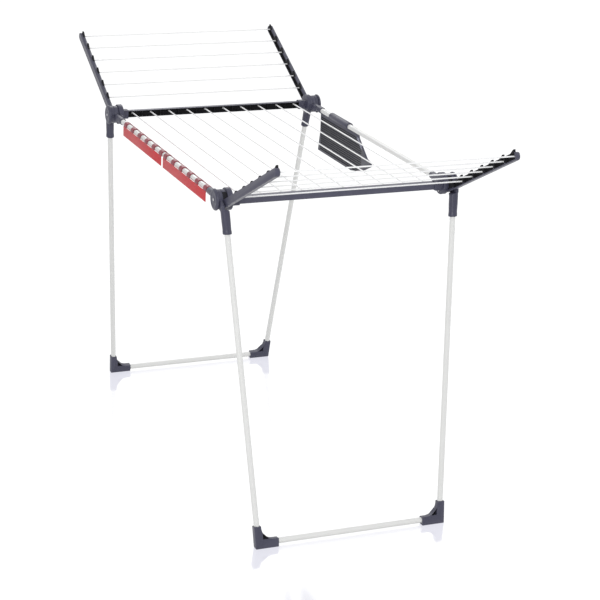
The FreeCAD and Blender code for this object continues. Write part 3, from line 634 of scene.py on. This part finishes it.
class RACK_OT_leg_sockets(bpy.types.Operator):
    """Loft the four leg sockets from their round knuckles into the sleeves that grip the legs"""

    bl_idname = "rack.leg_sockets"
    bl_label = "Leg sockets"

    HOLE = 0.0041
    CORNER = 0.0014
    COLUMNS = 40

    def execute(self, context):
        sizes, colours = context.scene.rack_sizes, context.scene.rack_colours
        for end, along in ENDS.items():
            for side, across in SIDES.items():
                node = f"{end}_{side}_leg_socket"
                low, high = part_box(f"hub_cap_{end}_{side}")
                pin = np.array((0, (low.y + high.y) / 2, (low.z + high.z) / 2))
                outer = min(abs(low.x), abs(high.x)) - 0.0003
                inner = outer - sizes.knuckle_width
                neck = self.neck(sizes, inner, outer)
                knuckle = sizes.knuckle_radius
                ring = rounded_corners([(inner, self.HOLE), (inner, knuckle), (outer, knuckle),
                                        (outer, self.HOLE)], self.CORNER)
                round_part = turned(ring, (0, 0, 0), 1, 64)
                turn = np.array(Matrix.Rotation(along * sizes.leg_splay, 3, "X"))
                skins = []
                for grid, wrap in ((neck, False), (round_part, True)):
                    stood = (grid * (across, along, 1)) @ turn.T + pin
                    skins.append(skin([stood], ring=wrap))
                name = f"leg_grip_{end}_{side}"
                piece = show(name, mesh_of(name, skins), body_of(node), "slate_plastic",
                             slate_plastic(colours))
                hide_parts(node)
        return {"FINISHED"}

    def neck(self, sizes, inner, outer):
        """Rings down the leg, each a superellipse between two easing walls across and two along the rack.

        The power eases from 5, nearly square, under the knuckle to 2, round, at the sleeve; the mouth has
        a bead and turns in to the tube.
        """
        start, end = -0.006, sizes.socket_end
        down = np.linspace(start, end - 0.001, 64)
        axis = sizes.leg_spacing / 2 - down * math.tan(sizes.leg_taper)
        radius = sizes.socket_radius
        right = blend(outer - 0.0004, axis + radius, ease(down, 0.022, 0.03))
        left = blend(inner + 0.0004, axis - radius, ease(down, 0.0225, 0.029))
        front = blend(0.022, sizes.leg_offset + radius, ease(down, start, 0.016))
        back = blend(-0.024, sizes.leg_offset - radius, ease(down, start + 0.01, 0.034))
        bead = sizes.socket_bead * ease(down, end - 0.012, end - 0.007)
        power = blend(5, 2.6, ease(down, 0.014, 0.03)) - 0.6 * ease(down, 0.05, 0.08)
        x, y = rounded_loop((right - left) / 2 + bead, (front - back) / 2 + bead, power, self.COLUMNS)
        x, y = x + ((right + left) / 2)[:, None], y + ((front + back) / 2)[:, None]
        z = np.broadcast_to(-down[:, None], x.shape)
        body = np.stack((x, y, z), axis=-1)
        mouth_axis = sizes.leg_spacing / 2 - end * math.tan(sizes.leg_taper)
        # Rows of (distance down, radius) round the mouth and up inside it.
        rim = np.array([(end - 0.0002, radius - 0.0004), (end, radius - 0.0012), (end, 0.0084),
                        (end - 0.006, 0.0081)])
        rx, ry = rounded_loop(rim[:, 1], rim[:, 1], np.full(len(rim), 2), self.COLUMNS)
        rz = np.broadcast_to(-rim[:, :1], rx.shape)
        lip = np.stack((rx + mouth_axis, ry + sizes.leg_offset, rz), axis=-1)
        return close_poles(np.concatenate((body, lip)))


class RACK_OT_feet(bpy.types.Operator):
    """Round the edges of the four corner feet and paint shade onto the webs sunk in their corners"""

    bl_idname = "rack.feet"
    bl_label = "Feet"

    def execute(self, context):
        sizes, colours = context.scene.rack_sizes, context.scene.rack_colours
        for end, along in ENDS.items():
            for side in SIDES:
                hub = np.array(hub_centre(end, side))
                across_plane = np.array((0, along * math.cos(sizes.leg_splay), math.sin(sizes.leg_splay)))

                def web(centres, normals, hub=hub, across_plane=across_plane):
                    """Faces of the web, which take the painted shade: near the middle plane of the foot and
                    facing along the rack.
                    """
                    off = (centres - hub) @ across_plane - sizes.leg_offset
                    return (np.abs(off) < sizes.foot_web_half) & (np.abs(normals @ across_plane) > 0.9)

                # The web faces get the near-black painted shade.
                soften(f"{end}_{side}_foot", f"corner_foot_{end}_{side}", "slate_plastic", sizes.foot_edge,
                       (slate_plastic(colours), painted_shade_plastic(colours)), web, segments=3)
        return {"FINISHED"}


class RACK_OT_rail_holders(bpy.types.Operator):
    """Make the two holders: a rounded plate, bands over the rail, and a strip that joins their tips"""

    bl_idname = "rack.rail_holders"
    bl_label = "Rail holders"

    def execute(self, context):
        sizes, colours = context.scene.rack_sizes, context.scene.rack_colours
        for end in HOLDERS:
            node = f"{end}_rail_holder"
            low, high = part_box(node)
            name = f"holder_plate_{end}"
            plate = show(name, mesh_of(name, [self.plate(low, high)]), body_of(node), "red_plastic",
                         red_plastic(colours))
            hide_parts(node)
            name = f"holder_bands_{end}"
            skins = [self.bands(sizes, low, high), self.strip(sizes, low, high)]
            show(name, mesh_of(name, skins), body_of(node), "red_plastic", maroon_plastic(colours))
        return {"FINISHED"}

    @staticmethod
    def plate(low, high):
        """A rounded upright slab: its outline carried along the rail, shrinking towards each end."""
        wall, top = 0.0025, RAIL_CENTRE.z - 0.003
        outline = rounded_corners([(low.x, low.z), (low.x + wall, low.z), (low.x + wall, top), (low.x, top)],
                                  0.0011)
        middle = outline.mean(axis=0)
        inset = np.array([0.0012, 0.0004, 0, 0, 0.0004, 0.0012])
        along = np.array([low.y, low.y + 0.0004, low.y + 0.0014, high.y - 0.0014, high.y - 0.0004, high.y])
        shrink = 1 - inset[:, None, None] / np.array((wall, high.z - low.z)) * 2
        section = (outline - middle) * shrink + middle
        y = np.broadcast_to(along[:, None], section.shape[:2])
        return skin([close_poles(np.stack((section[..., 0], y, section[..., 1]), axis=-1))], ring=False)

    @staticmethod
    def path(sizes, low):
        """Up from the tip on the rail's inner side, round over its top, and down into the plate."""
        mean = RAIL_RADIUS + sizes.hook_thickness / 2 + 0.0001
        turn = np.linspace(math.radians(-24), math.pi, 22)
        arc = np.stack((RAIL_CENTRE.x + mean * np.cos(turn), RAIL_CENTRE.z + mean * np.sin(turn)), axis=-1)
        out = np.stack((-np.cos(turn), -np.sin(turn)), axis=-1)
        drop = np.linspace(0.0015, 0.008, 4)[:, None]
        shift = ease(drop, 0, 0.008) * (low.x + 0.00125 - (RAIL_CENTRE.x - mean))
        straight = np.concatenate((RAIL_CENTRE.x - mean + shift, RAIL_CENTRE.z - drop), axis=1)
        side = np.broadcast_to(np.array((1.0, 0.0)), straight.shape)
        return np.concatenate((arc, straight)), np.concatenate((out, side))

    def bands(self, sizes, low, high):
        """Superellipse sections, wide along the rail and thin across it, carried along the path per hook."""
        line, across = self.path(sizes, low)
        share = np.linspace(0, 1, len(line))
        taper = 0.72 + 0.28 * ease(share, 0, 0.12)
        half_width, half_thickness = sizes.hook_width / 2 * taper, sizes.hook_thickness / 2 * taper
        wide, thin = rounded_loop(half_width, half_thickness, np.full(len(line), 5), 24)
        x = line[:, :1] - across[:, :1] * thin
        z = line[:, 1:] - across[:, 1:] * thin
        first, last = low.y + sizes.hook_width / 2, high.y - sizes.hook_width / 2
        centres = np.linspace(first, last, sizes.hook_count)
        return skin([close_poles(np.stack((x, wide + y, z), axis=-1)) for y in centres], ring=False)

    @staticmethod
    def strip(sizes, low, high):
        """A thin rounded bar along the rail's inner side, a superellipse swept from end to end."""
        lift = math.radians(16)
        mean = RAIL_RADIUS + sizes.hook_thickness / 2 + 0.0002
        x0, z0 = RAIL_CENTRE.x + mean * math.cos(lift), RAIL_CENTRE.z + mean * math.sin(lift)
        along = np.array([low.y + 0.0005, low.y + 0.0015, high.y - 0.0015, high.y - 0.0005])
        scale = np.array([0.6, 1, 1, 0.6])
        x, z = rounded_loop(sizes.hook_thickness / 2 * scale, 0.0028 * scale, np.full(4, 3), 20)
        y = np.broadcast_to(along[:, None], x.shape)
        return skin([close_poles(np.stack((x + x0, y, z + z0), axis=-1))], ring=False)


class RACK_OT_side_panel(bpy.types.Operator):
    """Round the ribs of the hanging panel, tell its ribs, band and slanted rim apart, paint shade into its
    grooves and a highlight on its rim, and round its clip
    """

    bl_idname = "rack.side_panel"
    bl_label = "Side panel"

    GROOVE_TOP = 0.0003
    GROOVE_FLOOR = 0.002
    RIM_ABOVE_BAND = 0.004
    RIM_BELOW_BROW = 0.03

    def execute(self, context):
        sizes, colours = context.scene.rack_sizes, context.scene.rack_colours
        low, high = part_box("ribbed_panel")
        band = high.z - sizes.panel_band
        brow = Vector((0, sizes.panel_brow_y, high.z - sizes.panel_brow_drop))
        slant = Vector((0, math.sin(sizes.panel_slant), -math.cos(sizes.panel_slant)))
        # Inner edge of the band along the slanted edge that gets the painted highlight.
        rim = brow + slant * sizes.panel_rim

        def shares(centres, normals):
            """0 for the smooth band and edges, 1 for ribs, 2 for painted shade in the grooves between them, 3
            for the painted highlight on the rim.
            """
            depth, along, height = centres[:, 0] - low.x, centres[:, 1], centres[:, 2]
            inside = (centres - np.array(rim)) @ np.array(slant)
            front = normals[:, 0] < -0.5
            sunk = (depth > self.GROOVE_TOP) & (depth < self.GROOVE_FLOOR) & (height < band)
            by_rim = (height < band + self.RIM_ABOVE_BAND) & (height > brow.z - self.RIM_BELOW_BROW)
            shown = np.zeros(len(centres))
            shown[front & (height < band)] = 1
            shown[sunk & (along > sizes.panel_groove_start)] = 2
            shown[(inside < 0) & by_rim & front] = 3
            return shown

        # The grooves take the near-black painted shade, and the band along the slanted edge takes a pale
        # painted highlight.
        finishes = [make(colours) for make in (slate_plastic, panel_plastic, painted_shade_plastic, painted_highlight_plastic)]
        soften("ribbed_panel", "panel_sheet", "slate_plastic", sizes.panel_edge, finishes, shares,
               cuts=((Vector((0, 0, band)), Vector((0, 0, 1))), (rim, slant)))
        soften("panel_clip", "panel_rail_clip", "slate_plastic", sizes.bar_edge, (slate_plastic(colours),))
        return {"FINISHED"}


class RACK_OT_lines(bpy.types.Operator):
    """Coat the drying lines and crimp a ferrule on each end of every line"""

    bl_idname = "rack.lines"
    bl_label = "Lines"

    def execute(self, context):
        sizes, colours = context.scene.rack_sizes, context.scene.rack_colours
        coating = line_coating(colours)
        groups = {}
        for name, node in NODES.items():
            if "_line_" in name:
                coat(node, coating)
                groups.setdefault(body_of(name), []).append(name)
        for body, names in groups.items():
            along_rack = names[0].startswith("middle")
            grids = []
            for name in sorted(names):
                low, high = (np.array(corner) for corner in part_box(name))
                grids.extend(self.ferrules(sizes, low, high, 1 if along_rack else 0))
            mesh = mesh_of(f"line_ends_{body}", [skin(grids, ring=False)])
            show(f"line_ends_{body}", mesh, body, "steel", bright_steel(colours))
        return {"FINISHED"}

    @staticmethod
    def ferrules(sizes, low, high, axis):
        """A sleeve near each end of a line: radius R (1 - 0.12 sin^2(2 pi s)) at share s, ends 0.8 R."""
        share = np.linspace(0, 1, 8)
        radius = sizes.ferrule_radius * (1 - 0.12 * np.sin(share * math.pi * 2) ** 2)
        radius[[0, -1]] = sizes.ferrule_radius * 0.8
        t = np.linspace(0, TURN, 12, endpoint=False)
        centre = (low + high) / 2
        made = []
        for start, sign in ((low[axis], 1), (high[axis], -1)):
            grid = np.empty((len(share), len(t), 3))
            others = [i for i in range(3) if i != axis]
            grid[..., axis] = (start + sign * (0.0008 + share * sizes.ferrule_length))[:, None]
            grid[..., others[0]] = centre[others[0]] + radius[:, None] * np.cos(t)
            grid[..., others[1]] = centre[others[1]] + radius[:, None] * np.sin(t)
            made.append(close_poles(grid))
        return made


class RACK_OT_tubes(bpy.types.Operator):
    """Paint the rails, legs and crossbars, and polish the pins and screws"""

    bl_idname = "rack.tubes"
    bl_label = "Tubes, pins and screws"

    def execute(self, context):
        colours = context.scene.rack_colours
        for name, node in NODES.items():
            if name.endswith(("_rail", "_leg_tube", "_crossbar")):
                coat(node, white_paint(colours))
            elif name in ("hub_pins", "housing_screws"):
                coat(node, bright_steel(colours))
        return {"FINISHED"}


# Stage -------------------------------------------------------------------------------------


def seen_rays(tree):
    """1 for rays from the camera and for those it sees in mirrors and clear things, 0 for other light."""
    path = add(tree, "ShaderNodeLightPath").outputs
    indirect = maths(tree, "MAXIMUM", path["Is Glossy Ray"], path["Is Transmission Ray"])
    return maths(tree, "MAXIMUM", path["Is Camera Ray"], indirect)


class RACK_OT_stage(bpy.types.Operator):
    """Set the white floor, the soft lamps, the sky and the camera"""

    bl_idname = "rack.stage"
    bl_label = "Stage"

    def execute(self, context):
        stage = context.scene.rack_stage
        self.floor(stage)
        self.sky(context, stage)
        self.lamp("Key lamp", (-2.8, -4.4, 2.9), 2.2, stage.key)
        self.lamp("Fill lamp", (3.6, -1.2, 2.6), 2.4, stage.fill)
        self.lamp("Back lamp", (0.4, 3.6, 3.4), 2.4, stage.fill)
        self.camera(context, stage)
        return {"FINISHED"}

    @staticmethod
    def floor(stage):
        """A flat grid just under the feet; it shows a white glow, a shadowed share and a faint mirror."""
        reach = np.linspace(-FLOOR_REACH, FLOOR_REACH, 3)
        x, y = np.meshgrid(reach, reach, indexing="ij")
        points = np.stack((x, y, np.full_like(x, -FLOOR_DROP)), axis=-1).reshape(-1, 3)
        index = np.arange(9).reshape(3, 3)
        corners = (index[:-1, :-1], index[1:, :-1], index[1:, 1:], index[:-1, 1:])
        quads = np.stack(corners, axis=-1).reshape(-1, 4)
        mesh = bpy.data.meshes.new("floor")
        mesh.from_pydata(points.tolist(), [], quads.tolist())
        material = bpy.data.materials.new("Studio floor")
        material.use_nodes = True
        tree = material.node_tree
        tree.nodes.clear()
        seen = seen_rays(tree)
        plain = add(tree, "ShaderNodeBsdfDiffuse", {"Color": (0.78, 0.78, 0.78, 1)})
        catch = add(tree, "ShaderNodeBsdfDiffuse", {"Color": (0.14, 0.14, 0.14, 1)})
        tint = tuple(stage.floor_gloss * share for share in (1, 1, 0.8))
        mirror = add(tree, "ShaderNodeBsdfGlossy", {"Color": (*tint, 1), "Roughness": 0.09})
        glow = add(tree, "ShaderNodeEmission", {"Color": (0.9, 0.9, 1, 1), "Strength": stage.floor_glow})
        lit = add(tree, "ShaderNodeAddShader", {0: catch.outputs[0], 1: mirror.outputs[0]})
        shown = add(tree, "ShaderNodeAddShader", {0: lit.outputs[0], 1: glow.outputs[0]})
        mix = add(tree, "ShaderNodeMixShader", {0: seen, 1: plain.outputs[0], 2: shown.outputs[0]})
        out = add(tree, "ShaderNodeOutputMaterial")
        tree.links.new(mix.outputs[0], out.inputs["Surface"])
        mesh.materials.append(material)
        floor = bpy.data.objects.new("floor", mesh)
        bpy.context.scene.collection.objects.link(floor)

    @staticmethod
    def sky(context, stage):
        """White to the camera and in reflections, and a soft grey light on everything."""
        world = bpy.data.worlds.new("Studio")
        context.scene.world = world
        world.use_nodes = True
        tree = world.node_tree
        tree.nodes.clear()
        seen = seen_rays(tree)
        white = add(tree, "ShaderNodeBackground", {"Color": (1, 1, 1, 1), "Strength": 1.0})
        soft = add(tree, "ShaderNodeBackground", {"Color": (0.97, 0.98, 1, 1), "Strength": stage.sky})
        mix = add(tree, "ShaderNodeMixShader", {0: seen, 1: soft.outputs[0], 2: white.outputs[0]})
        out = add(tree, "ShaderNodeOutputWorld")
        tree.links.new(mix.outputs[0], out.inputs["Surface"])

    @staticmethod
    def lamp(name, place, size, power):
        data = bpy.data.lights.new(name, "AREA")
        data.shape = "DISK"
        data.size = size
        data.energy = power
        lamp = bpy.data.objects.new(name, data)
        lamp.location = place
        lamp.rotation_euler = (Vector(LAMP_AIM) - Vector(place)).to_track_quat("-Z", "Y").to_euler()
        bpy.context.scene.collection.objects.link(lamp)

    @staticmethod
    def camera(context, stage):
        """Looks at the target from the azimuth and elevation, then rolls about its own view."""
        flat = math.cos(stage.elevation)
        back = Vector((math.sin(stage.azimuth) * flat, -math.cos(stage.azimuth) * flat,
                       math.sin(stage.elevation)))
        right = (-back).cross(Vector((0, 0, 1))).normalized()
        up = right.cross(-back).normalized()
        rolled_right = right * math.cos(stage.roll) + up * math.sin(stage.roll)
        rolled_up = up * math.cos(stage.roll) - right * math.sin(stage.roll)
        matrix = Matrix((rolled_right, rolled_up, back)).transposed().to_4x4()
        matrix.translation = Vector(stage.target) + back * stage.distance
        data = bpy.data.cameras.new("Camera")
        data.sensor_width = 36
        data.lens = stage.lens
        data.shift_x = stage.shift_x
        data.shift_y = stage.shift_y
        camera = bpy.data.objects.new("Camera", data)
        camera.matrix_world = matrix
        context.scene.collection.objects.link(camera)
        context.scene.camera = camera
        context.scene.view_settings.view_transform = "Standard"


# Add-on ------------------------------------------------------------------------------------

STEPS = (
    RACK_OT_end_bars, RACK_OT_corner_housings, RACK_OT_hub_caps, RACK_OT_wing_arms, RACK_OT_leg_sockets,
    RACK_OT_feet, RACK_OT_rail_holders, RACK_OT_side_panel, RACK_OT_lines, RACK_OT_tubes, RACK_OT_stage,
)
GROUPS = {"rack_sizes": RackSizes, "rack_colours": RackColours, "rack_stage": RackStage}


class RACK_PT_panel(bpy.types.Panel):
    """Lists the steps that build the rack's visible pieces"""

    bl_label = "Drying Rack"
    bl_idname = "RACK_PT_panel"
    bl_space_type = "VIEW_3D"
    bl_region_type = "UI"
    bl_category = "Drying Rack"

    def draw(self, context):
        for step in STEPS:
            self.layout.operator(step.bl_idname)
        for name in GROUPS:
            column = self.layout.column()
            settings = getattr(context.scene, name)
            for key in settings.__annotations__:
                column.prop(settings, key)


def register():
    for made in (*GROUPS.values(), *STEPS, RACK_PT_panel):
        bpy.utils.register_class(made)
    for name, group in GROUPS.items():
        setattr(bpy.types.Scene, name, PointerProperty(type=group))


def unregister():
    for name in GROUPS:
        delattr(bpy.types.Scene, name)
    for made in reversed((*GROUPS.values(), *STEPS, RACK_PT_panel)):
        bpy.utils.unregister_class(made)


def plain(box):
    return [[float(v) for v in corner] for corner in box]


def main():
    register()
    for step in STEPS:
        family, name = step.bl_idname.split(".")
        getattr(getattr(bpy.ops, family), name)()


if __name__ == "__main__":
    main()
